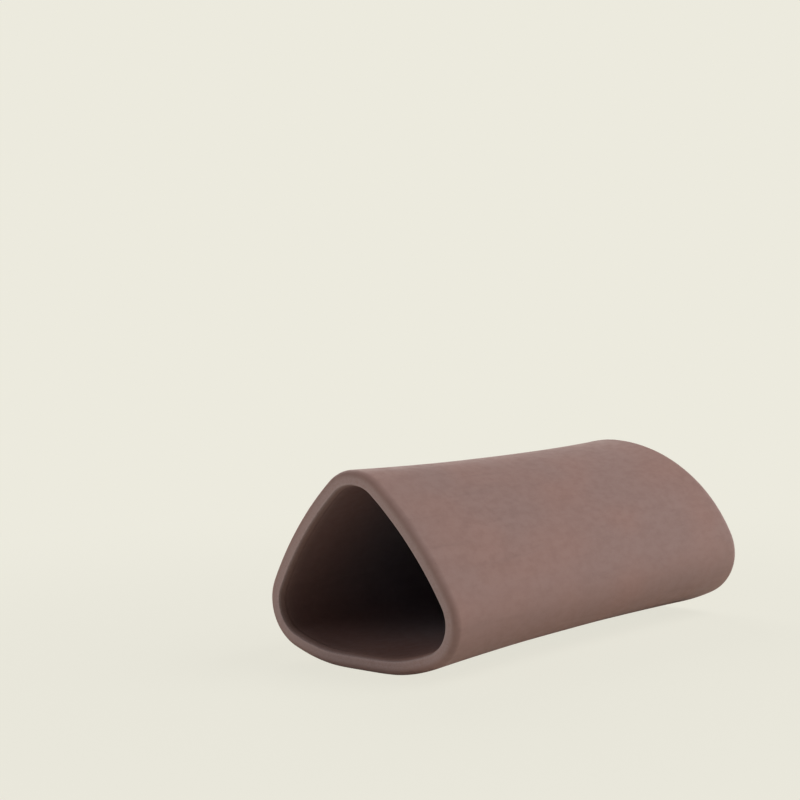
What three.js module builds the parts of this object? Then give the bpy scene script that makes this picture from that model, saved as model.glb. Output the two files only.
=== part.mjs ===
// Fired-clay spawning cave: a tube of rounded triangular section, open at the mouth and closed by a
// slab at the far end, luted to the tube by a coil of clay pressed into the groove between them.
// Millimetres, +Z up. The mouth faces -Y. The origin is at the bottom centre.

import * as THREE from 'three';

// Driving dimensions
const LENGTH = 125;                 // mouth to the outside of the closed end, at middle height
const WALL = 4.2;                   // thickness of the tube's wall
const END_THICKNESS = 6;            // slab that closes the far end
const MOUTH_HEIGHT = 49.7;          // height of the section at the mouth, before the flare
const MOUTH_WIDTH = 61.7;           // width at the mouth, before the flare
const MOUTH_RIDGE_RADIUS = 12.2;    // rounding of the ridge on top
const MOUTH_CORNER_RADIUS = 11.6;   // rounding of the two lower corners
const MOUTH_SIDE_RADIUS = 93;       // bow of the two sides
const MOUTH_BASE_RADIUS = 54;       // bow of the underside across its width
const END_HEIGHT = 49.7;            // the same sizes at the closed end
const END_WIDTH = 79.3;
const END_RIDGE_RADIUS = 26.1;
const END_CORNER_RADIUS = 13.2;
const END_SIDE_RADIUS = 42.1;
const END_BASE_RADIUS = 65;
const BASE_FLAT = 3.8;              // half the width of the underside's level middle
const MORPH_POWER = 1.18;           // how late along the tube the section changes

// Flares, feet and leans
const MOUTH_FLARE = 1;              // swelling of the outside at the mouth, on every side
const MOUTH_FLARE_REACH = 57;       // how far back from the mouth the swelling reaches
const END_FLARE = 1.14;             // the same at the closed end
const END_FLARE_REACH = 62;
const FOOT_DROP = 0.75;             // how far below the waist's underside the feet are rubbed flat
const MOUTH_LEAN = 0.05;            // forward lean of the mouth plane, per unit of height
const END_LEAN = 0.06;              // forward lean of the closed end, per unit of height

// Edges
const LIP_OUTER_RADIUS = 2;         // rounding of the mouth's outer edge
const LIP_INNER_DEPTH = 1.7;        // rounding of the mouth's inner edge, measured along the tube
const LIP_INNER_INSET = 0.6;        // the same rounding, measured across the wall
const END_EDGE_DEPTH = 4;           // rounding of the closed end's edge, measured along the tube
const END_EDGE_INSET = 4.6;         // the same rounding, measured across the tube

// Joint between the tube and the end slab
const GAP = 0.3;                // clearance between neighbouring pieces
const GROOVE = 1.5;             // depth and half width of the groove that takes the coil

// Fineness
const BASE_STEPS = 9;           // steps along the underside's bow, on each half
const CORNER_STEPS = 10;
const SIDE_STEPS = 5;
const RIDGE_STEPS = 6;
const EDGE_STEPS = 10;          // steps round the lip and round the closed end's edge
const OUTSIDE_STEPS = 12;       // steps along the tube's outside
const INSIDE_STEPS = 8;         // steps along the tube's inside

const SEAM = LENGTH - END_THICKNESS;    // where the tube and the slab meet
const MID_HEIGHT = MOUTH_HEIGHT / 2;    // height that the leaning planes turn about

const clayBody = new THREE.MeshStandardMaterial({ color: 0x8f766f, roughness: 0.92, metalness: 0 });
const claySlab = new THREE.MeshStandardMaterial({ color: 0x8c736d, roughness: 0.93, metalness: 0 });
const clayCoil = new THREE.MeshStandardMaterial({ color: 0x866e68, roughness: 0.95, metalness: 0 });

const blend = (a, b, t) => a + (b - a) * t;
const angleOf = (from, to) => Math.atan2(to.z - from.z, to.x - from.x);

// Share of a flare left at a distance from its own end.
function fade(distance, reach) {
  const left = Math.min(Math.max(1 - distance / reach, 0), 1);
  return left * left;
}

// The four tangent arcs of the right half of the section at a station along the tube, from the
// underside's middle up to the ridge: centre, radius, first and last angle, and steps.
function sectionArcs(station) {
  const along = Math.min(Math.max(station / LENGTH, 0), 1) ** MORPH_POWER;
  const height = blend(MOUTH_HEIGHT, END_HEIGHT, along);
  const width = blend(MOUTH_WIDTH, END_WIDTH, along);
  const ridge = blend(MOUTH_RIDGE_RADIUS, END_RIDGE_RADIUS, along);
  const corner = blend(MOUTH_CORNER_RADIUS, END_CORNER_RADIUS, along);
  const side = 1 / blend(1 / MOUTH_SIDE_RADIUS, 1 / END_SIDE_RADIUS, along);
  const base = blend(MOUTH_BASE_RADIUS, END_BASE_RADIUS, along);

  const baseCentre = { x: BASE_FLAT, z: base };
  const ridgeCentre = { x: 0, z: height - ridge };
  const cornerX = width / 2 - corner;
  const cornerDrop = Math.sqrt((base - corner) ** 2 - (cornerX - BASE_FLAT) ** 2);
  const cornerCentre = { x: cornerX, z: base - cornerDrop };

  // The side's arc touches the ridge's and the corner's from outside, so its centre lies at known
  // distances from both of theirs, on the far side of the section.
  const span = Math.hypot(cornerCentre.x - ridgeCentre.x, cornerCentre.z - ridgeCentre.z);
  const toRidge = side - ridge;
  const toCorner = side - corner;
  const onLine = (span ** 2 + toRidge ** 2 - toCorner ** 2) / (2 * span);
  const offLine = Math.sqrt(toRidge ** 2 - onLine ** 2);
  const dir = { x: (cornerCentre.x - ridgeCentre.x) / span, z: (cornerCentre.z - ridgeCentre.z) / span };
  const sideCentre = {
    x: ridgeCentre.x + dir.x * onLine + dir.z * offLine,
    z: ridgeCentre.z + dir.z * onLine - dir.x * offLine,
  };

  const baseEnd = angleOf(baseCentre, cornerCentre);
  const cornerEnd = angleOf(sideCentre, cornerCentre);
  const sideEnd = angleOf(sideCentre, ridgeCentre);
  return [
    { centre: baseCentre, radius: base, from: -Math.PI / 2, to: baseEnd, steps: BASE_STEPS },
    { centre: cornerCentre, radius: corner, from: baseEnd, to: cornerEnd, steps: CORNER_STEPS },
    { centre: sideCentre, radius: side, from: cornerEnd, to: sideEnd, steps: SIDE_STEPS },
    { centre: ridgeCentre, radius: ridge, from: sideEnd, to: Math.PI / 2, steps: RIDGE_STEPS },
  ];
}

// One closed ring of points round the section at a station, moved inward by an inset. Rings of the
// outside are rubbed flat at the feet, down to the height of the foot plane plus their own inset.
function ring(station, inset) {
  const flare = MOUTH_FLARE * fade(station, MOUTH_FLARE_REACH)
    + END_FLARE * fade(LENGTH - station, END_FLARE_REACH);
  const half = [];
  for (const arc of sectionArcs(station)) {
    const radius = arc.radius + flare - inset;
    for (let i = 0; i < arc.steps; i += 1) {
      const angle = blend(arc.from, arc.to, i / arc.steps);
      half.push({
        x: arc.centre.x + radius * Math.cos(angle),
        z: arc.centre.z + radius * Math.sin(angle),
      });
    }
    if (arc.to === Math.PI / 2) half.push({ x: 0, z: arc.centre.z + radius });
  }
  const mirrored = half.slice(0, -1).reverse().map(({ x, z }) => ({ x: -x, z }));
  const share = station / LENGTH;
  const lean = blend(MOUTH_LEAN, END_LEAN, share);
  return [...half, ...mirrored].map(({ x, z }) => {
    const height = Math.max(z, inset - FOOT_DROP);
    const y = station - lean * (height - MID_HEIGHT);
    return new THREE.Vector3(x, y, height + FOOT_DROP);
  });
}

// A closed body through a list of rings of equal count. With `closed` the last ring joins the first
// one, which makes a tube with walls. Without it the two end rings are filled.
function loft(rings, closed) {
  const count = rings[0].length;
  const points = rings.flat();
  const faces = [];
  const bands = closed ? rings.length : rings.length - 1;
  for (let band = 0; band < bands; band += 1) {
    const near = band * count;
    const far = ((band + 1) % rings.length) * count;
    for (let i = 0; i < count; i += 1) {
      const next = (i + 1) % count;
      faces.push(near + i, far + next, near + next, near + i, far + i, far + next);
    }
  }
  if (!closed) {
    const last = (rings.length - 1) * count;
    const outline = (start) => points.slice(start, start + count)
      .map((p) => new THREE.Vector2(p.x, p.z));
    for (const [a, b, c] of THREE.ShapeUtils.triangulateShape(outline(0), [])) faces.push(a, b, c);
    for (const [a, b, c] of THREE.ShapeUtils.triangulateShape(outline(last), [])) {
      faces.push(last + a, last + c, last + b);
    }
  }
  const geometry = new THREE.BufferGeometry();
  geometry.setAttribute('position', new THREE.Float32BufferAttribute(
    points.flatMap((p) => [p.x, p.y, p.z]), 3));
  geometry.setIndex(faces);
  geometry.computeVertexNormals();
  return geometry;
}

// Stations and insets of a quarter round edge that starts at an end plane and runs back along it.
function roundedEdge(steps, depth, inset, place) {
  return Array.from({ length: steps + 1 }, (_, i) => {
    const angle = (i / steps) * (Math.PI / 2);
    return place(depth * (1 - Math.sin(angle)), inset * (1 - Math.cos(angle)));
  });
}

// Stations between two ends, without the ends themselves.
const evenly = (from, to, steps) => Array.from(
  { length: steps - 1 }, (_, i) => blend(from, to, (i + 1) / steps));
const denserAtEnds = (from, to, steps) => evenly(0, Math.PI, steps)
  .map((angle) => blend(from, to, (1 - Math.cos(angle)) / 2));

function caveTube() {
  const back = SEAM - GAP / 2;
  const outerLip = roundedEdge(EDGE_STEPS, LIP_OUTER_RADIUS, LIP_OUTER_RADIUS,
    (depth, inset) => ring(depth, inset)).reverse();
  const outside = denserAtEnds(LIP_OUTER_RADIUS, back - GROOVE, OUTSIDE_STEPS)
    .map((at) => ring(at, 0));
  const rim = [ring(back - GROOVE, 0), ring(back, GROOVE), ring(back, WALL)];
  const inside = evenly(back, LIP_INNER_DEPTH, INSIDE_STEPS).map((at) => ring(at, WALL));
  const innerLip = roundedEdge(EDGE_STEPS, LIP_INNER_DEPTH, LIP_INNER_INSET,
    (depth, inset) => ring(depth, WALL - inset));
  return [...outerLip, ...outside, ...rim, ...inside, ...innerLip];
}

// The rounding of the slab's edge may take no more than the thickness left beyond the groove.
function endWall() {
  const front = SEAM + GAP / 2;
  const room = END_THICKNESS - GAP / 2 - GROOVE;
  const edge = roundedEdge(EDGE_STEPS, Math.min(END_EDGE_DEPTH, room), END_EDGE_INSET,
    (depth, inset) => ring(LENGTH - depth, inset));
  return [ring(front, GROOVE), ring(front + GROOVE, 0), ...edge];
}

// The coil is the groove's own triangle, drawn in by the clearance on both slanting sides.
function seamCoil() {
  const slack = GAP * Math.SQRT2;
  const half = GROOVE + GAP / 2 - slack;
  return [ring(SEAM - half, 0), ring(SEAM + half, 0), ring(SEAM, half)];
}

const cave = new THREE.Group();
for (const [name, geometry, material] of [
  ['cave_tube', loft(caveTube(), true), clayBody],
  ['end_wall', loft(endWall(), false), claySlab],
  ['seam_coil', loft(seamCoil(), true), clayCoil],
]) {
  const mesh = new THREE.Mesh(geometry, material);
  mesh.name = name;
  cave.add(mesh);
}

// The origin lies below the middle of the whole, measured over both leaning ends.
const extent = new THREE.Box3().setFromObject(cave);
cave.position.y = -(extent.min.y + extent.max.y) / 2;

export default cave;
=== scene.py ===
"""Looks of a fired-clay fish cave: a tube of rounded triangular section, its end slab and their seam.

Metres in the part's own frame: +Z up, the mouth faces -Y, the origin is at the bottom centre.
"""

import logging
import math
from dataclasses import dataclass, field
from enum import Enum

import bpy
import numpy as np
from mathutils import Matrix, Vector


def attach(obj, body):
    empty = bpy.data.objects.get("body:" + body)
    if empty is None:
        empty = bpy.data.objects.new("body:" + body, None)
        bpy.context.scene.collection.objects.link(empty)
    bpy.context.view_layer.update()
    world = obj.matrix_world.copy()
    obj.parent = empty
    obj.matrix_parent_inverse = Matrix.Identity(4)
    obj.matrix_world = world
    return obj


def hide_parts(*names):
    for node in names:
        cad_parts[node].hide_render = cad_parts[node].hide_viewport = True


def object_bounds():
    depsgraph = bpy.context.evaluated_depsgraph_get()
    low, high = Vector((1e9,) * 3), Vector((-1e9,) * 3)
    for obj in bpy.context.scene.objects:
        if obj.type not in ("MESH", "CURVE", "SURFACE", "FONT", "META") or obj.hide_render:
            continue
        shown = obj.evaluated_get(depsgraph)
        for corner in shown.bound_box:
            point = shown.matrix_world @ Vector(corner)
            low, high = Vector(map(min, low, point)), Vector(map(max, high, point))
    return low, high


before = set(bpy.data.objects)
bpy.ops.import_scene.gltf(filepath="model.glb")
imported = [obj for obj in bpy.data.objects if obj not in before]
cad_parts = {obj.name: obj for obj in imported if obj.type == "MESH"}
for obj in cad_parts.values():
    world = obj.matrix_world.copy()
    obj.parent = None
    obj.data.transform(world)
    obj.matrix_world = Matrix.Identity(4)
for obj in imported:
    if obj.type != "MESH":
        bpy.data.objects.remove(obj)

CAD_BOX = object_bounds()
MM = 0.001
LOG = logging.getLogger("cave")

Colour = tuple[float, float, float]
Span = tuple[float, float]
Socket = bpy.types.NodeSocket


class Painted(Enum):
    """What is painted on the points of every clay piece, as numbers that the finishes read."""

    RIM = "rim"
    # Painted shade that darkens the bore behind the mouth.
    SMOKE = "bore_shade"
    # Painted shade's cool grey deeper in the bore.
    DEEP_SHADE = "deep_shade"


# ---------------------------------------------------------------------------------------------
# Form: the section, how it changes along the tube, and the maker's small unevenness
# ---------------------------------------------------------------------------------------------


@dataclass(frozen=True)
class Outline:
    """The rounded triangle at one end of the tube, before the flare."""

    height: float
    width: float
    ridge_radius: float
    corner_radius: float
    side_radius: float
    base_radius: float


@dataclass(frozen=True)
class Unevenness:
    """One layer of smooth seeded noise over the wall, given as depths and wavelengths in metres.

    The lattice runs past each end of the tube by a margin, a share of the tube's length.
    """

    seed: int
    depth: float
    along: float
    around: int
    margin: float = 0.1

    def sample(self, station: np.ndarray, turn: np.ndarray, length: float) -> np.ndarray:
        """Smooth noise between 0 and 1 on a lattice that closes round the section.

        Lattice values are joined by the cubic 3t^2 - 2t^3 in both directions.

        Args:
            station: distances along the tube, one per ring, shape (rings, 1).
            turn: place round the section from 0 to 1, shape (rings, points).
            length: whole length of the tube.

        Returns:
            Noise of shape (rings, points).
        """
        rows = int(math.ceil(length * (1 + 2 * self.margin) / self.along)) + 2
        lattice = np.random.default_rng(self.seed).random((rows, self.around))
        v = np.broadcast_to((station + self.margin * length) / self.along, turn.shape)
        u = turn * self.around
        i, j = np.floor(v).astype(int), np.floor(u).astype(int)
        fv, fu = v - i, u - j
        fv, fu = fv * fv * (3 - 2 * fv), fu * fu * (3 - 2 * fu)
        i0, i1 = np.clip(i, 0, rows - 1), np.clip(i + 1, 0, rows - 1)
        j0, j1 = j % self.around, (j + 1) % self.around
        low = lattice[i0, j0] * (1 - fu) + lattice[i0, j1] * fu
        high = lattice[i1, j0] * (1 - fu) + lattice[i1, j1] * fu
        return low * (1 - fv) + high * fv


@dataclass(frozen=True)
class ClayForm:
    """Every size that the three clay pieces share, and the rings of points that they are lofted from.

    The two outlines are the section at the mouth and at the closed end, and morph_power sets how
    soon the one turns into the other. The flares swell the wall towards both ends. The ground lies
    foot_drop below the section as it is without the flares, so only the flared ends reach it, and
    they are rubbed flat there: foot_ease rounds the edge of the flat, and foot_sink and foot_fade
    bring the eased flat back down to the ground. A lean is how far an end plane moves forward for
    each metre of height. A ring at the crisp distance from a sharp edge keeps the smooth shading
    from spreading over that edge.
    """

    length: float = 124.98 * MM
    wall: float = 4.2 * MM
    end_thickness: float = 6 * MM
    mouth: Outline = Outline(
        height=49.7 * MM, width=61.7 * MM, ridge_radius=12.2 * MM,
        corner_radius=11.6 * MM, side_radius=93 * MM, base_radius=54 * MM,
    )
    end: Outline = Outline(
        height=49.7 * MM, width=79.3 * MM, ridge_radius=26.1 * MM,
        corner_radius=13.2 * MM, side_radius=42.1 * MM, base_radius=65 * MM,
    )
    base_flat: float = 3.8 * MM
    morph_power: float = 1.18
    mouth_flare: float = 1 * MM
    mouth_flare_reach: float = 57 * MM
    end_flare: float = 1.14 * MM
    end_flare_reach: float = 62 * MM
    foot_drop: float = 0.75 * MM
    foot_ease: float = 0.6 * MM
    foot_sink: float = 0.19 * MM
    foot_fade: float = 6 * MM
    mouth_lean: float = 0.05
    end_lean: float = 0.06
    lip_outer_radius: float = 2 * MM
    lip_inner_depth: float = 1.7 * MM
    lip_inner_inset: float = 0.6 * MM
    end_edge_depth: float = 4 * MM
    end_edge_inset: float = 4.6 * MM
    groove: float = 1.5 * MM
    slip_gap: float = 0.004 * MM
    crisp: float = 0.02 * MM
    crease_at: float = 2.4 * MM
    crease_depth: float = 0.06 * MM
    crease_width: float = 0.35 * MM
    base_steps: int = 46
    corner_steps: int = 50
    side_steps: int = 60
    ridge_steps: int = 36
    layers: tuple[Unevenness, ...] = (
        Unevenness(seed=11, depth=0.15 * MM, along=34 * MM, around=7),
        Unevenness(seed=12, depth=0.06 * MM, along=17 * MM, around=17),
        Unevenness(seed=13, depth=0.025 * MM, along=26 * MM, around=76),
    )

    @property
    def seam(self) -> float:
        """Where the tube and the end slab meet, measured from the mouth."""
        return self.length - self.end_thickness

    @property
    def mid_height(self) -> float:
        """Height that the leaning end planes turn about."""
        return self.mouth.height / 2

    @property
    def shift(self) -> float:
        """Where station 0 lies along y, so that the leaning mouth's ridge meets the box's front."""
        top = self.mouth.height + self.mouth_flare - self.lip_outer_radius
        return CAD_BOX[0][1] + self.mouth_lean * (top - self.mid_height)

    def flare(self, station: np.ndarray) -> np.ndarray:
        """Swelling of the wall, which falls off with the square of the distance from either end.

        Args:
            station: distances from the mouth.

        Returns:
            How far the wall moves outward at each.
        """
        near = np.clip(1 - station / self.mouth_flare_reach, 0, 1) ** 2
        far = np.clip(1 - (self.length - station) / self.end_flare_reach, 0, 1) ** 2
        return self.mouth_flare * near + self.end_flare * far

    def crease(self, station: np.ndarray) -> np.ndarray:
        """Depth of the soft line that the smoothing thumb leaves inside the lip, a Gaussian dip."""
        return self.crease_depth * np.exp(-(((station - self.crease_at) / self.crease_width) ** 2))

    def half_outline(self, station: np.ndarray, inset: np.ndarray) -> tuple[np.ndarray, ...]:
        """Right half of the section, from the underside's middle up to the ridge.

        Four arcs touch in turn: the underside's bow, the lower corner, the side's bow and the ridge.
        The corner's circle touches the underside's from inside, and the side's circle is found from
        its distances to the corner's and the ridge's centres. An inset shrinks every radius alike.

        Args:
            station: distances from the mouth, shape (rings, 1).
            inset: distances inward from the outside, shape (rings, 1).

        Returns:
            x, z and the outward direction's angle, each of shape (rings, points of the half).
        """
        share = np.clip(station / self.length, 0, 1) ** self.morph_power

        def mixed(name: str) -> np.ndarray:
            """The named size at each station, between the mouth's and the end's."""
            return getattr(self.mouth, name) * (1 - share) + getattr(self.end, name) * share

        height, width = mixed("height"), mixed("width")
        ridge, corner = mixed("ridge_radius"), mixed("corner_radius")
        side = 1 / ((1 - share) / self.mouth.side_radius + share / self.end.side_radius)
        base = mixed("base_radius")
        base_x, base_z = np.full_like(ridge, self.base_flat), base
        ridge_x, ridge_z = np.zeros_like(ridge), height - ridge
        corner_x = width / 2 - corner
        corner_z = base_z - np.sqrt((base - corner) ** 2 - (corner_x - base_x) ** 2)
        span = np.hypot(corner_x - ridge_x, corner_z - ridge_z)
        on_line = (span**2 + (side - ridge) ** 2 - (side - corner) ** 2) / (2 * span)
        off_line = np.sqrt((side - ridge) ** 2 - on_line**2)
        dir_x, dir_z = (corner_x - ridge_x) / span, (corner_z - ridge_z) / span
        side_x = ridge_x + dir_x * on_line + dir_z * off_line
        side_z = ridge_z + dir_z * on_line - dir_x * off_line
        base_end = np.arctan2(corner_z - base_z, corner_x - base_x)
        corner_end = np.arctan2(corner_z - side_z, corner_x - side_x)
        side_end = np.arctan2(ridge_z - side_z, ridge_x - side_x)
        down, up = np.full_like(ridge, -math.pi / 2), np.full_like(ridge, math.pi / 2)

        grow = self.flare(station) - inset
        xs, zs, angles = [], [], []
        for cx, cz, radius, first, last, steps in (
            (base_x, base_z, base, down, base_end, self.base_steps),
            (corner_x, corner_z, corner, base_end, corner_end, self.corner_steps),
            (side_x, side_z, side, corner_end, side_end, self.side_steps),
            (ridge_x, ridge_z, ridge, side_end, up, self.ridge_steps),
        ):
            part = np.arange(steps + (last is up)) / steps
            angle = first + (last - first) * part[None, :]
            xs.append(cx + (radius + grow) * np.cos(angle))
            zs.append(cz + (radius + grow) * np.sin(angle))
            angles.append(angle)
        return np.hstack(xs), np.hstack(zs), np.hstack(angles)

    def rings(self, station: np.ndarray, inset: np.ndarray, skin: np.ndarray) -> np.ndarray:
        """Closed rings round the section, one per station, in the part's frame.

        The right half is mirrored into the left, and the unevenness moves each point inward. The
        feet are rubbed flat by an eased maximum: with h the height over the foot plane and e the
        ease, the new height is (h + sqrt(h^2 + e^2)) / 2, less a small sink that fades with h. Each
        ring then leans forward with its height.

        Args:
            station: distance from the mouth of each ring, shape (rings,).
            inset: distance inward from the outside, shape (rings,).
            skin: how much of the unevenness each ring takes, from 0 to 1, shape (rings,).

        Returns:
            Points of shape (rings, points, 3).
        """
        at, deep, take = station[:, None], inset[:, None], skin[:, None]
        x, z, angle = self.half_outline(at, deep)
        x = np.hstack([x, -x[:, -2::-1]])
        z = np.hstack([z, z[:, -2::-1]])
        angle = np.hstack([angle, math.pi - angle[:, -2::-1]])
        turn = np.broadcast_to(np.arange(x.shape[1]) / x.shape[1], x.shape)
        dent = take * sum(layer.depth * layer.sample(at, turn, self.length) for layer in self.layers)
        x = x - dent * np.cos(angle)
        z = z - dent * np.sin(angle)
        foot = deep - self.foot_drop
        over = z - foot
        z = foot + (over + np.hypot(over, self.foot_ease)) / 2
        z = z - self.foot_sink * np.exp(-over / self.foot_fade)
        lean = self.mouth_lean + (self.end_lean - self.mouth_lean) * at / self.length
        y = at - lean * (z - self.mid_height)
        return np.stack([x, y + self.shift, z + self.foot_drop], axis=2)


# ---------------------------------------------------------------------------------------------
# Mesh helpers
# ---------------------------------------------------------------------------------------------


def quarter_round(
    depth: float, inset: float, steps: int, fullness: float = 2.0
) -> tuple[np.ndarray, np.ndarray]:
    """A quarter superellipse from an end plane to the wall.

    With p = 2 / fullness it is depth (1 - sin^p t) and inset (1 - cos^p t), t from 90 degrees to 0.

    Args:
        depth: how far the rounding runs along the tube.
        inset: how far it runs across the wall.
        steps: how many steps it takes.
        fullness: 2 for an ellipse, nearer 1 for a chamfer with eased ends.

    Returns:
        Distances from the end plane and from the wall's face, starting at the end plane.
    """
    t = np.linspace(math.pi / 2, 0, steps + 1)
    power = 2 / fullness
    sine, cosine = np.clip(np.sin(t), 0, 1) ** power, np.clip(np.cos(t), 0, 1) ** power
    return depth * (1 - sine), inset * (1 - cosine)


def loft_faces(rings: int, points: int, closed: bool) -> np.ndarray:
    """Quads between neighbouring rings, wound so that the rings' outside faces out.

    Args:
        rings: how many rings there are.
        points: how many points each ring has.
        closed: whether the last ring joins the first one.

    Returns:
        Vertex numbers of shape (quads, 4).
    """
    band = np.arange(rings if closed else rings - 1)[:, None]
    i = np.arange(points)[None, :]
    after = (i + 1) % points
    near, far = band * points, ((band + 1) % rings) * points
    return np.stack(
        [near + i, far + i, far + after, near + after], axis=2
    ).reshape(-1, 4)


def new_piece(name: str, vertices: np.ndarray, faces: list[list[int]]) -> bpy.types.Object:
    """A smooth-shaded mesh object at the origin, linked to the scene.

    Args:
        name: the piece's name.
        vertices: points of shape (count, 3), in metres.
        faces: vertex numbers of each face.

    Returns:
        The new object.
    """
    mesh = bpy.data.meshes.new(name)
    mesh.from_pydata(vertices.tolist(), [], faces)
    mesh.validate()
    mesh.polygons.foreach_set("use_smooth", np.ones(len(mesh.polygons), dtype=bool))
    mesh.update()
    piece = bpy.data.objects.new(name, mesh)
    bpy.context.scene.collection.objects.link(piece)
    return piece


def paint(piece: bpy.types.Object, layer: Painted, values: np.ndarray) -> None:
    """Stores one number per vertex for the finishes to read.

    Args:
        piece: the object to paint.
        layer: what the numbers stand for.
        values: one number per vertex.
    """
    attribute = piece.data.attributes.new(layer.value, "FLOAT", "POINT")
    attribute.data.foreach_set("value", values.astype(np.float32))


# ---------------------------------------------------------------------------------------------
# Finish: unglazed fired clay
# ---------------------------------------------------------------------------------------------


@dataclass(frozen=True)
class Pattern:
    """A noise over a piece: its fineness per metre, its detail, and its stretch along x, y and z."""

    scale: float
    detail: float
    rough: float
    stretch: tuple[float, float, float] = (1.0, 1.0, 1.0)


@dataclass(frozen=True)
class Wiring:
    """Short calls that add and join the nodes of one material or world."""

    tree: bpy.types.NodeTree

    @classmethod
    def of(cls, owner: bpy.types.Material | bpy.types.World) -> "Wiring":
        """Turns a material's or a world's nodes on, clears them and wires them anew.

        Args:
            owner: the material or world.

        Returns:
            The wiring of its empty node tree.
        """
        owner.use_nodes = True
        owner.node_tree.nodes.clear()
        return cls(owner.node_tree)

    def add(self, kind: str, inputs: dict[str | int, object], **settings: str) -> bpy.types.Node:
        """Adds a node, chooses its settings and fills its inputs.

        Args:
            kind: the node's type, without the word ShaderNode.
            inputs: what each input holds, by its name or number: a value, or a socket to join.
            settings: the node's own choices, such as its operation.

        Returns:
            The new node.
        """
        node = self.tree.nodes.new("ShaderNode" + kind)
        for name, setting in settings.items():
            setattr(node, name, setting)
        for key, value in inputs.items():
            if isinstance(value, Socket):
                self.tree.links.new(value, node.inputs[key])
            else:
                node.inputs[key].default_value = value
        return node

    def coords(self) -> Socket:
        """The object coordinates."""
        return self.add("TexCoord", {}).outputs["Object"]

    def painted(self, layer: Painted) -> Socket:
        """The number that was painted on the piece's points."""
        return self.add("Attribute", {}, attribute_name=layer.value).outputs["Fac"]

    def noise(self, coords: Socket, pattern: Pattern) -> Socket:
        """Noise on coordinates that a mapping has stretched.

        Args:
            coords: the coordinates to read.
            pattern: the noise's own values.

        Returns:
            The noise, about 0 to 1.
        """
        mapping = self.add("Mapping", {"Vector": coords, "Scale": pattern.stretch})
        node = self.add("TexNoise", {
            "Vector": mapping.outputs["Vector"],
            "Scale": pattern.scale,
            "Detail": pattern.detail,
            "Roughness": pattern.rough,
        })
        return node.outputs["Fac"]

    def ramp(self, value: Socket, span: Span, out: Span = (0.0, 1.0)) -> Socket:
        """Eases a value along the cubic 3t^2 - 2t^3.

        Args:
            value: what to ease.
            span: where the easing starts and where it ends.
            out: the result at its start and at its end.

        Returns:
            The eased value.
        """
        inputs = {
            "Value": value, "From Min": span[0], "From Max": span[1], "To Min": out[0], "To Max": out[1],
        }
        return self.add("MapRange", inputs, interpolation_type="SMOOTHSTEP").outputs["Result"]

    def combine(self, operation: str, first: Socket, second: Socket | float) -> Socket:
        """Two values put through one operation of arithmetic."""
        return self.add("Math", {0: first, 1: second}, operation=operation).outputs["Value"]

    def times(self, value: Socket, factor: Socket | float) -> Socket:
        """A value times a number or another value."""
        return self.combine("MULTIPLY", value, factor)

    def mix(self, share: Socket, first: Colour | Socket, second: Colour | Socket) -> Socket:
        """A colour between two others.

        Args:
            share: how much of the second one shows.
            first: a colour or the result of another mix.
            second: a colour or the result of another mix.

        Returns:
            The mixed colour.
        """
        # On a colour mix, inputs 6 and 7 hold the two ends, and output 2 gives the result.
        ends = [(*end, 1) if isinstance(end, tuple) else end for end in (first, second)]
        inputs = {"Factor": share, 6: ends[0], 7: ends[1]}
        return self.add("Mix", inputs, data_type="RGBA").outputs[2]

    def blend(self, share: Socket, first: Socket, second: Socket) -> Socket:
        """Two shaders mixed by a share of the second."""
        return self.add("MixShader", {"Fac": share, 1: first, 2: second}).outputs["Shader"]


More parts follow.
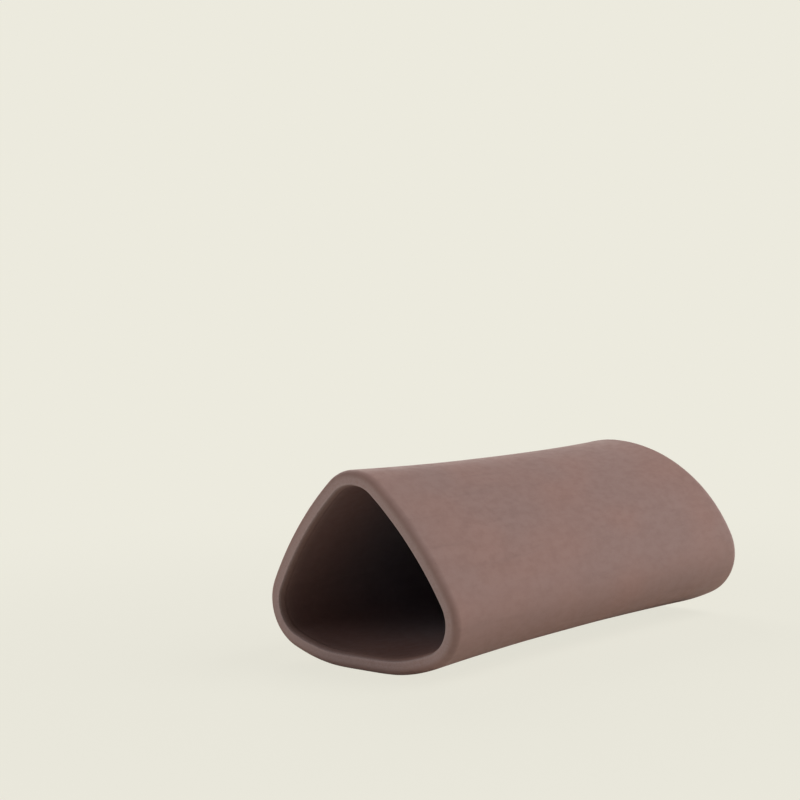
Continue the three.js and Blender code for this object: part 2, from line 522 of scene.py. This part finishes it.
@dataclass(frozen=True)
class ClayFinish:
    """Unglazed mauve-brown clay: its tones, its patterns, and how strongly and where each shows.

    A span says between which values of a pattern its effect comes in. The depths are those of the
    bump that each pattern makes.
    """

    name: str
    tone: Colour = (0.333, 0.205, 0.180)
    warm: Colour = (0.343, 0.204, 0.176)
    cool: Colour = (0.319, 0.206, 0.185)
    dark: Colour = (0.240, 0.152, 0.134)
    # Pale: sponged wear on the rims, with painted light and a painted highlight on the tube's lip.
    pale: Colour = (0.455, 0.332, 0.318)
    # The next two are painted shade colours for the bore: a dark one behind the mouth, a cool grey
    # deeper in.
    painted_shade: Colour = (0.205, 0.116, 0.108)
    deep_shade: Colour = (0.250, 0.248, 0.290)
    streaks: float = 0.24
    mottling: float = 0.14
    speckle: float = 0.35
    # How strongly the rims' pale wear, painted light and painted highlight show.
    paling_strength: float = 1.0
    # The next two set how strongly the bore's painted shade shows.
    painted_shade_strength: float = 0.75
    deep_shade_strength: float = 0.7
    patch: Pattern = Pattern(scale=1.0, detail=1.5, rough=0.4, stretch=(36.0, 22.0, 36.0))
    drift: Pattern = Pattern(scale=1.0, detail=1.5, rough=0.4, stretch=(64.0, 44.0, 64.0))
    streak: Pattern = Pattern(scale=1.0, detail=4.0, rough=0.62, stretch=(420.0, 22.0, 420.0))
    mottle: Pattern = Pattern(scale=520.0, detail=4.0, rough=0.65, stretch=(1.0, 0.6, 1.0))
    grain: Pattern = Pattern(scale=2600.0, detail=3.0, rough=0.6)
    speck_scale: float = 620.0
    speck_groups: Pattern = Pattern(scale=240.0, detail=1.0, rough=0.5)
    tone_span: Span = (0.28, 0.72)
    warm_span: Span = (0.34, 0.80)
    streak_span: Span = (0.52, 0.76)
    mottle_span: Span = (0.40, 0.72)
    speck_span: Span = (0.16, 0.05)
    speck_group_span: Span = (0.55, 0.68)
    paling_mottle_span: Span = (0.10, 0.52)
    paling_grain_span: Span = (0.05, 0.60)
    rough_span: Span = (0.3, 0.7)
    roughness: Span = (0.62, 0.84)
    streak_depth: float = 0.022 * MM
    mottle_depth: float = 0.012 * MM
    grain_depth: float = 0.012 * MM
    specular_level: float = 0.38
    ior: float = 1.45

    def build(self) -> bpy.types.Material:
        """Makes the node material, whose colour, roughness and bump share the same patterns.

        Returns:
            The new material.
        """
        material = bpy.data.materials.new(self.name)
        wiring = Wiring.of(material)
        coords = wiring.coords()
        streak = wiring.noise(coords, self.streak)
        mottle = wiring.noise(coords, self.mottle)
        grain = wiring.noise(coords, self.grain)
        rough = wiring.add("MapRange", {
            "Value": wiring.ramp(mottle, self.rough_span),
            "To Min": self.roughness[0],
            "To Max": self.roughness[1],
        })
        shader = wiring.add("BsdfPrincipled", {
            "Base Color": self.colour(wiring, coords, streak, mottle, grain),
            "Roughness": rough.outputs["Result"],
            "Normal": self.bump(wiring, streak, mottle, grain),
            "Specular IOR Level": self.specular_level,
            "IOR": self.ior,
        })
        wiring.add("OutputMaterial", {"Surface": shader.outputs["BSDF"]})
        return material

    def colour(
        self, wiring: Wiring, coords: Socket, streak: Socket, mottle: Socket, grain: Socket
    ) -> Socket:
        """The clay's colour.

        Broad patches mix the warm and cool tones, and lengthwise streaks, mottle and fine specks in
        loose groups darken them. The rims show the pale tone: sponged wear, with painted light over the
        tube's lip and a painted highlight along its inner edge, and a paler band along the ridge. The
        bore takes painted shade, darker behind the mouth and then a cool grey with depth.

        Args:
            wiring: the material's wiring.
            coords: the object coordinates.
            streak: the streaks' noise.
            mottle: the mottle's noise.
            grain: the grain's noise.

        Returns:
            The colour.
        """
        cells = wiring.add("TexVoronoi", {"Vector": coords, "Scale": self.speck_scale})
        groups = wiring.ramp(wiring.noise(coords, self.speck_groups), self.speck_group_span)
        specks = wiring.times(wiring.ramp(cells.outputs["Distance"], self.speck_span), groups)
        # The rims' paleness, broken up by mottle and grain: wear, with painted light and a painted
        # highlight on the lip.
        paling = wiring.times(wiring.painted(Painted.RIM), wiring.ramp(mottle, self.paling_mottle_span))
        paling = wiring.times(paling, wiring.ramp(grain, self.paling_grain_span))
        patch, drift = wiring.noise(coords, self.patch), wiring.noise(coords, self.drift)
        colour = wiring.mix(wiring.ramp(patch, self.tone_span), self.cool, self.tone)
        colour = wiring.mix(wiring.ramp(drift, self.warm_span), colour, self.warm)
        for share, strength, over in (
            (wiring.ramp(streak, self.streak_span), self.streaks, self.dark),
            (wiring.ramp(mottle, self.mottle_span), self.mottling, self.dark),
            (specks, self.speckle, self.dark),
            # Pale rims: sponged wear, with painted light and a painted highlight on the tube's lip.
            (paling, self.paling_strength, self.pale),
            # Painted shade in the bore: darker behind the mouth, then a cool grey deeper in.
            (wiring.painted(Painted.SMOKE), self.painted_shade_strength, self.painted_shade),
            (wiring.painted(Painted.DEEP_SHADE), self.deep_shade_strength, self.deep_shade),
        ):
            colour = wiring.mix(wiring.times(share, strength), colour, over)
        return colour

    def bump(self, wiring: Wiring, streak: Socket, mottle: Socket, grain: Socket) -> Socket:
        """The surface's fine relief, one bump over the other.

        Args:
            wiring: the material's wiring.
            streak: the streaks' noise.
            mottle: the mottle's noise.
            grain: the grain's noise.

        Returns:
            The bumped normal.
        """
        below: dict[str, Socket] = {}
        for height, depth in (
            (streak, self.streak_depth),
            (mottle, self.mottle_depth),
            (grain, self.grain_depth),
        ):
            inputs = {"Strength": 1.0, "Distance": depth, "Height": height, **below}
            below = {"Normal": wiring.add("Bump", inputs).outputs["Normal"]}
        return below["Normal"]


# ---------------------------------------------------------------------------------------------
# The three clay pieces
# ---------------------------------------------------------------------------------------------


def dress(piece: bpy.types.Object, node: str, finish: ClayFinish) -> bpy.types.Object:
    """Gives a piece its finish and its body, and hides the CAD node that it stands for.

    Args:
        piece: the new object.
        node: the CAD node that it replaces.
        finish: the clay finish to build for it.

    Returns:
        The same object.
    """
    piece.data.materials.append(finish.build())
    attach(piece, "root")
    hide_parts(node)
    return piece


@dataclass
class CaveTube:
    """The walled tube, with its rounded lip and the bevel that takes the seam coil.

    The bore takes less of the unevenness than the outside, by bore_smoothness. The finely stepped
    zone round the crease ends at crease_zone times the crease's distance from the mouth. Across the
    lip, the paleness starts at lip_paling_from and is full lip_paling_over further in, both counted in
    the lip's outer radii: over the lip's face it is sponged wear with painted light, and along its inner
    edge a painted highlight. The ridge's width is a share of the way round, and each paleness is a
    share of the finish's pale tone.
    """

    form: ClayForm
    finish: ClayFinish = field(default_factory=lambda: ClayFinish("tube_clay"))
    lip_steps: int = 12
    lip_face_steps: int = 6
    outside_steps: int = 112
    inside_steps: int = 56
    bevel_steps: int = 5
    back_steps: int = 5
    crease_steps: int = 20
    crease_zone: float = 3
    lip_inner_fullness: float = 1.3
    bore_smoothness: float = 0.4
    # The lip's paleness: sponged wear with painted light over its face, and a painted highlight on its
    # inner edge.
    lip_paling_from: float = 0.5
    lip_paling_over: float = 0.6
    lip_face_paleness: float = 0.62
    lip_edge_highlight: float = 0.38
    lip_highlight_width: float = 0.35 * MM
    lip_paling_depth: float = 0.55 * MM
    ridge_paleness: float = 0.10
    ridge_width: float = 0.10
    ridge_paling_depth: float = 1 * MM
    # The bore's painted shade: darker behind the mouth, then a cool grey deeper in.
    bore_shade_reach: float = 5 * MM
    deep_shade_from: float = 8 * MM
    deep_shade_over: float = 45 * MM

    def profile(self) -> tuple[np.ndarray, np.ndarray]:
        """The wall's closed profile, once round.

        The chain starts at the mouth plane, goes over the outer lip, back along the outside, down
        the bevel and the back face, forward along the inside, and over the inner lip.

        Returns:
            Station and inset of each ring.
        """
        form = self.form
        back = form.seam - form.slip_gap / 2
        lip_at, lip_in = quarter_round(form.lip_outer_radius, form.lip_outer_radius, self.lip_steps)
        out_at = np.linspace(form.lip_outer_radius, back - form.groove, self.outside_steps + 1)[1:]
        out_at = np.append(out_at[:-1], [out_at[-1] - form.crisp, out_at[-1]])
        bevel = np.append([form.crisp], np.linspace(0, form.groove, self.bevel_steps + 1)[1:])
        face = np.linspace(form.groove, form.wall, self.back_steps + 1)[1:]
        near_lip = self.crease_zone * form.crease_at
        in_at = np.concatenate([
            np.linspace(back, near_lip, self.inside_steps + 1)[1:],
            np.linspace(near_lip, form.lip_inner_depth, self.crease_steps + 1)[1:],
        ])
        rim_at, rim_in = quarter_round(
            form.lip_inner_depth, form.lip_inner_inset, self.lip_steps, self.lip_inner_fullness)
        lip_face = np.linspace(
            form.wall - form.lip_inner_inset, form.lip_outer_radius, self.lip_face_steps + 1)[1:-1]
        station = np.concatenate([
            lip_at, out_at, back - form.groove + bevel, np.full(len(face), back), in_at,
            rim_at[::-1][1:], np.zeros(len(lip_face)),
        ])
        inset = np.concatenate([
            lip_in, np.zeros(len(out_at)), bevel, face, form.wall - form.crease(in_at),
            form.wall - rim_in[::-1][1:], lip_face,
        ])
        return station, inset

    def lip_wear_and_painted_light(self, station: np.ndarray, inset: np.ndarray) -> np.ndarray:
        """How pale the sponged lip is: even over its face, and palest where the face meets the bore.

        The face's paleness is sponged wear with painted light, and it comes in straight across the outer
        rounding. The peak where the face meets the bore is a painted highlight, a Gaussian over the
        inset, and another Gaussian fades both with the distance from the mouth plane.

        Args:
            station: distance from the mouth of each ring.
            inset: distance inward of each ring.

        Returns:
            One paleness for each ring, from 0 to 1.
        """
        radius = self.form.lip_outer_radius
        inner = self.form.wall - self.form.lip_inner_inset
        face = np.clip((inset - self.lip_paling_from * radius) / (self.lip_paling_over * radius), 0, 1)
        edge = np.exp(-(((inset - inner) / self.lip_highlight_width) ** 2))
        fade = np.exp(-((station / self.lip_paling_depth) ** 2))
        return (self.lip_face_paleness * face + self.lip_edge_highlight * edge) * fade

    def ridge_paling(self, inset: np.ndarray, count: int) -> np.ndarray:
        """How much paler the ridge is, a Gaussian over the top of the outside.

        Args:
            inset: distance inward of each ring.
            count: points in a ring.

        Returns:
            One paleness for each point, shape (rings, count).
        """
        away = (np.arange(count) - count // 2) / (self.ridge_width * count)
        outside = inset < self.ridge_paling_depth
        return self.ridge_paleness * np.exp(-(away**2))[None, :] * outside[:, None]

    def bore_shade(self, station: np.ndarray, inset: np.ndarray) -> tuple[np.ndarray, np.ndarray]:
        """How the bore darkens behind the mouth, and how it greys further in.

        The painted shade darkens straight with depth, and its painted grey grows along the cubic 3t^2 -
        2t^3.

        Args:
            station: distance from the mouth of each ring.
            inset: distance inward of each ring.

        Returns:
            The painted shade's darkening and its grey of each ring, from 0 to 1.
        """
        bore = (inset > self.form.wall - self.form.lip_inner_inset / 2).astype(float)
        near = np.clip(station / self.bore_shade_reach, 0, 1)
        far = np.clip((station - self.deep_shade_from) / self.deep_shade_over, 0, 1)
        return bore * near, bore * far * far * (3 - 2 * far)

    def build(self) -> bpy.types.Object:
        """Lofts the closed ring chain into the tube, paints it and dresses it.

        Returns:
            The tube.
        """
        station, inset = self.profile()
        take = 1 - inset / self.form.wall * self.bore_smoothness
        rings = self.form.rings(station, inset, take)
        count = rings.shape[1]
        faces = loft_faces(len(rings), count, closed=True).tolist()
        piece = new_piece("clay_tube", rings.reshape(-1, 3), faces)
        # Paler rims: wear and painted light on the lip with a painted highlight on its inner edge, plus
        # the paler ridge.
        paling = self.lip_wear_and_painted_light(station, inset)[:, None] + self.ridge_paling(inset, count)
        # Painted shade in the bore, darkening and then greying with depth.
        painted_shade, deep_shade_share = self.bore_shade(station, inset)
        paint(piece, Painted.RIM, paling.ravel())
        paint(piece, Painted.SMOKE, np.repeat(painted_shade, count))
        paint(piece, Painted.DEEP_SHADE, np.repeat(deep_shade_share, count))
        return dress(piece, "cave_tube", self.finish)


@dataclass
class EndSlab:
    """The slab that closes the far end, with a beveled front edge and a rounded back edge.

    The smears are waves round the back face, each given as its count and its phase.
    """

    form: ClayForm
    finish: ClayFinish = field(default_factory=lambda: ClayFinish("slab_clay"))
    bevel_steps: int = 6
    side_steps: int = 3
    edge_steps: int = 16
    cap_steps: int = 44
    edge_smoothness: float = 0.5
    edge_paleness: float = 0.8
    shaded_bevel_rings: int = 2
    press_depth: float = 0.25 * MM
    smear_depth: float = 0.12 * MM
    smears: tuple[tuple[int, float], ...] = ((3, 0.7), (5, 2.1))

    def profile(self) -> tuple[np.ndarray, np.ndarray, np.ndarray]:
        """The slab's edge, from the rim of its front face to the rim of its back face.

        Returns:
            Station, inset and share of the unevenness of each ring.
        """
        form = self.form
        shoulder = form.seam + form.slip_gap / 2 + form.groove
        bevel = np.append(np.linspace(form.groove, 0, self.bevel_steps + 1)[:-1], [form.crisp, 0])
        side = np.linspace(shoulder, form.length - form.end_edge_depth, self.side_steps + 1)[1:-1]
        side = np.append([shoulder + form.crisp], side)
        edge_at, edge_in = quarter_round(form.end_edge_depth, form.end_edge_inset, self.edge_steps)
        edge_at, edge_in = edge_at[::-1], edge_in[::-1]
        station = np.concatenate([shoulder - bevel, side, form.length - edge_at])
        inset = np.concatenate([bevel, np.zeros(len(side)), edge_in])
        eased = 1 - self.edge_smoothness * edge_in / edge_in.max()
        return station, inset, np.concatenate([np.ones(len(bevel) + len(side)), eased])

    def hollow(self, size: np.ndarray, count: int) -> np.ndarray:
        """How far the back face dips: a shallow press mark plus uneven smoothing.

        With k a ring's size against the rim's, the press mark is its depth times (1 - k^2)^2. The
        smears are half their depth plus a quarter of it for each wave round the face, all times
        4k(1 - k), which is nothing at the rim and at the middle.

        Args:
            size: each ring's size against the rim's.
            count: points in a ring.

        Returns:
            Depths of shape (rings, count).
        """
        turn = np.arange(count) / count
        waves = sum(np.sin(2 * math.pi * turn * number + phase) for number, phase in self.smears)
        press = self.press_depth * (1 - size**2) ** 2
        smear = self.smear_depth * (1 - size) * size * 4
        return press[:, None] + smear[:, None] * (0.5 + 0.25 * waves)[None, :]

    def build(self) -> bpy.types.Object:
        """Lofts the slab from its front middle over its edge to its back middle, and dresses it.

        Each flat face is the rim ring drawn in towards one middle point, k times its size, and a fan
        of triangles closes it there.

        Returns:
            The slab.
        """
        body = self.form.rings(*self.profile())
        count = body.shape[1]
        size = 1 - np.arange(1, self.cap_steps) / self.cap_steps
        shrink = size[:, None, None]
        front_middle, back_middle = body[0].mean(axis=0), body[-1].mean(axis=0)
        front_cap = (front_middle + (body[0] - front_middle) * shrink)[::-1]
        back_cap = back_middle + (body[-1] - back_middle) * shrink
        dip = self.hollow(size, count)
        back_cap[:, :, 1] -= dip
        back_middle[1] -= dip[-1].mean()
        rings = np.concatenate([front_cap, body, back_cap])
        total = rings.shape[0] * count
        vertices = np.concatenate([rings.reshape(-1, 3), front_middle[None], back_middle[None]])
        i = np.arange(count)
        after, last = (i + 1) % count, total - count
        faces = loft_faces(len(rings), count, closed=False).tolist()
        faces += np.stack([np.full(count, total), i, after], axis=1).tolist()
        faces += np.stack([np.full(count, total + 1), last + after, last + i], axis=1).tolist()
        piece = new_piece("clay_end_slab", vertices, faces)

        edge_rings = self.edge_steps + 1
        edge_wear = self.edge_paleness * np.sin(np.linspace(0, math.pi, edge_rings))
        before_edge = len(rings) - len(back_cap) - edge_rings
        paling = np.concatenate([np.zeros(before_edge), edge_wear, np.zeros(len(back_cap))])
        # The slab's inner face and its first bevel rings, at the bottom of the bore, take the bore's
        # full painted shade.
        inside = np.arange(len(rings)) < len(front_cap) + self.shaded_bevel_rings
        paint(piece, Painted.RIM, np.append(np.repeat(paling, count), [0, 0]))
        for layer in (Painted.SMOKE, Painted.DEEP_SHADE):
            paint(piece, layer, np.append(np.repeat(inside.astype(float), count), [1, 0]))
        return dress(piece, "end_wall", self.finish)


@dataclass
class SeamCoil:
    """The coil pressed into the groove between tube and slab, and wiped nearly flush."""

    form: ClayForm
    finish: ClayFinish = field(
        default_factory=lambda: ClayFinish("coil_clay", streaks=0.2, speckle=0.7, paling_strength=0.0)
    )
    scrape: float = 0.006 * MM
    scrape_at_edge: float = 0.35
    face_steps: int = 10
    flank_steps: int = 5

    def profile(self) -> tuple[np.ndarray, np.ndarray]:
        """The coil's closed triangular profile: its outer face, then its two flanks.

        With a from -1 to 1 across the outer face, the face lies in by the scrape's depth times
        (0.35 + cos(a pi / 2)). The flanks run at 45 degrees, clear of the bevels by the slip gap.

        Returns:
            Station and inset of each ring.
        """
        form = self.form
        half = form.groove + form.slip_gap / 2 - form.slip_gap * math.sqrt(2)
        narrow = form.crisp / half
        across = np.linspace(-1, 1, self.face_steps + 1)
        across = np.concatenate([[-1, -1 + narrow], across[1:-1], [1 - narrow, 1]])
        face_in = self.scrape * (self.scrape_at_edge + np.cos(across * math.pi / 2))
        down = np.append([narrow], np.linspace(0, 1, self.flank_steps + 1)[1:])
        up, top = down[:-1], face_in[0]
        reach = half - top
        station = form.seam + np.concatenate([across * reach, reach * (1 - down), -reach * up])
        inset = np.concatenate([face_in, top + reach * down, top + reach * (1 - up)])
        return station, inset

    def build(self) -> bpy.types.Object:
        """Lofts the closed profile round the cave and dresses it.

        Returns:
            The coil.
        """
        station, inset = self.profile()
        rings = self.form.rings(station, inset, np.ones(len(station)))
        count = rings.shape[1]
        faces = loft_faces(len(rings), count, closed=True).tolist()
        piece = new_piece("clay_seam_coil", rings.reshape(-1, 3), faces)
        for layer in Painted:
            paint(piece, layer, np.zeros(len(rings) * count))
        return dress(piece, "seam_coil", self.finish)


# ---------------------------------------------------------------------------------------------
# Studio
# ---------------------------------------------------------------------------------------------


@dataclass(frozen=True)
class SoftBox:
    """A soft square lamp that faces the part, with its azimuth and elevation in degrees."""

    name: str
    azimuth: float
    elevation: float
    power: float
    distance: float = 0.8
    size: float = 0.5

    def build(self, target: Vector) -> bpy.types.Object:
        """Makes the lamp.

        Args:
            target: the point that the lamp faces.

        Returns:
            The lamp's object.
        """
        azimuth, elevation = math.radians(self.azimuth), math.radians(self.elevation)
        way = Vector((
            math.sin(azimuth) * math.cos(elevation),
            -math.cos(azimuth) * math.cos(elevation),
            math.sin(elevation),
        ))
        data = bpy.data.lights.new(self.name, "AREA")
        data.shape = "RECTANGLE"
        data.size = data.size_y = self.size
        data.energy = self.power
        lamp = bpy.data.objects.new(self.name, data)
        lamp.location = target + way * self.distance
        lamp.rotation_euler = (-way).to_track_quat("-Z", "Y").to_euler()
        lamp.visible_camera = False
        bpy.context.scene.collection.objects.link(lamp)
        return lamp


@dataclass
class Studio:
    """A pale floor, soft lamps, a pale surround and the camera.

    Seen directly, the floor glows in the surround's colour by the shares in floor_glow, which grow
    between the two distances in floor_fade. Yaw, pitch and roll are in radians.
    """

    form: ClayForm
    backdrop: Colour = (0.840, 0.823, 0.730)
    ambient_tint: Colour = (1, 0.985, 0.96)
    ambient: float = 0.05
    floor_reach: float = 3
    floor_steps: int = 40
    floor_fade: Span = (0.06, 0.32)
    floor_glow: Span = (0.88, 1.0)
    lamps: tuple[SoftBox, ...] = (
        SoftBox("lamp_key", azimuth=115, elevation=50, power=3.4),
        SoftBox("lamp_side", azimuth=110, elevation=12, power=1.3),
        SoftBox("lamp_fill", azimuth=-30, elevation=12, power=1.9),
        SoftBox("lamp_back", azimuth=240, elevation=32, power=2.7),
    )
    lens: float = 67.36
    sensor_width: float = 36
    clip: Span = (0.01, 20)
    camera_from_mouth: tuple[float, float, float] = (251.65 * MM, -276.70 * MM, 82.12 * MM)
    yaw: float = 0.7059
    pitch: float = 0.0383
    roll: float = -0.0211

    def floor(self) -> bpy.types.Object:
        """A wide flat grid that takes the part's shadow and fades into the surround with distance.

        Returns:
            The floor.
        """
        side = self.floor_steps + 1
        line = np.linspace(-self.floor_reach, self.floor_reach, side)
        x, y = np.meshgrid(line, line)
        vertices = np.stack([x.ravel(), y.ravel(), np.zeros(x.size)], axis=1)
        row = np.arange(self.floor_steps)
        corner = (row[:, None] * side + row[None, :]).ravel()
        faces = np.stack([corner, corner + 1, corner + side + 1, corner + side], axis=1).tolist()
        floor = new_piece("studio_floor", vertices, faces)
        floor.data.materials.append(self.floor_material())
        return floor

    def floor_material(self) -> bpy.types.Material:
        """Pale matte floor. Seen directly, part of it is the surround's own colour.

        Returns:
            The new material.
        """
        material = bpy.data.materials.new("studio_floor")
        wiring = Wiring.of(material)
        colour = {"Color": (*self.backdrop, 1)}
        away = wiring.add("VectorMath", {0: wiring.coords()}, operation="LENGTH").outputs["Value"]
        fade = wiring.ramp(away, self.floor_fade, self.floor_glow)
        seen = wiring.add("LightPath", {}).outputs["Is Camera Ray"]
        matte = wiring.add("BsdfDiffuse", colour).outputs["BSDF"]
        glow = wiring.add("Emission", colour).outputs["Emission"]
        surface = wiring.blend(wiring.times(fade, seen), matte, glow)
        wiring.add("OutputMaterial", {"Surface": surface})
        return material

    def surround(self) -> None:
        """Makes the world: pale where it is seen or reflected, and a dim even light on the part."""
        world = bpy.data.worlds.new("studio_surround")
        bpy.context.scene.world = world
        wiring = Wiring.of(world)
        dim = wiring.add("Background", {"Color": (*self.ambient_tint, 1), "Strength": self.ambient})
        shown = wiring.add("Background", {"Color": (*self.backdrop, 1)})
        rays = wiring.add("LightPath", {}).outputs
        seen = wiring.combine("MAXIMUM", rays["Is Camera Ray"], rays["Is Glossy Ray"])
        surface = wiring.blend(seen, dim.outputs["Background"], shown.outputs["Background"])
        wiring.add("OutputWorld", {"Surface": surface})

    def camera(self) -> bpy.types.Object:
        """The camera, placed from the mouth and turned by yaw, then pitch, then roll.

        It looks along (-sin yaw cos pitch, cos yaw cos pitch, -sin pitch).

        Returns:
            The camera's object.
        """
        data = bpy.data.cameras.new("studio_camera")
        data.sensor_width = self.sensor_width
        data.lens = self.lens
        data.clip_start, data.clip_end = self.clip
        camera = bpy.data.objects.new("studio_camera", data)
        ahead = Vector((
            -math.sin(self.yaw) * math.cos(self.pitch),
            math.cos(self.yaw) * math.cos(self.pitch),
            -math.sin(self.pitch),
        ))
        level = Vector((math.cos(self.yaw), math.sin(self.yaw), 0))
        upward = level.cross(ahead)
        right = level * math.cos(self.roll) + upward * math.sin(self.roll)
        above = upward * math.cos(self.roll) - level * math.sin(self.roll)
        turn = Matrix((right, above, -ahead)).transposed()
        x, y, z = self.camera_from_mouth
        place = Vector((x, y + self.form.shift, z + self.form.foot_drop))
        camera.matrix_world = Matrix.Translation(place) @ turn.to_4x4()
        bpy.context.scene.collection.objects.link(camera)
        bpy.context.scene.camera = camera
        return camera

    def build(self) -> None:
        """Makes the floor, the surround, the lamps and the camera."""
        self.floor()
        self.surround()
        target = Vector((0, 0, self.form.mid_height))
        for lamp in self.lamps:
            lamp.build(target)
        self.camera()
        bpy.context.scene.view_settings.view_transform = "Standard"


def report(piece: bpy.types.Object) -> None:
    """Logs a piece's name, its face count and its box.

    Args:
        piece: the finished object.
    """
    corners = np.empty(len(piece.data.vertices) * 3)
    piece.data.vertices.foreach_get("co", corners)
    corners = corners.reshape(-1, 3)
    low, high = corners.min(axis=0), corners.max(axis=0)
    LOG.info(
        "%s: %d faces, from %s to %s mm", piece.name, len(piece.data.polygons),
        np.round(low / MM, 2).tolist(), np.round(high / MM, 2).tolist(),
    )


def main() -> None:
    """Builds the clay pieces and the studio."""
    logging.basicConfig(level=logging.INFO, format="%(name)s: %(message)s")
    form = ClayForm()
    for maker in (CaveTube(form), EndSlab(form), SeamCoil(form)):
        report(maker.build())
    Studio(form).build()


if __name__ == "__main__":
    main()
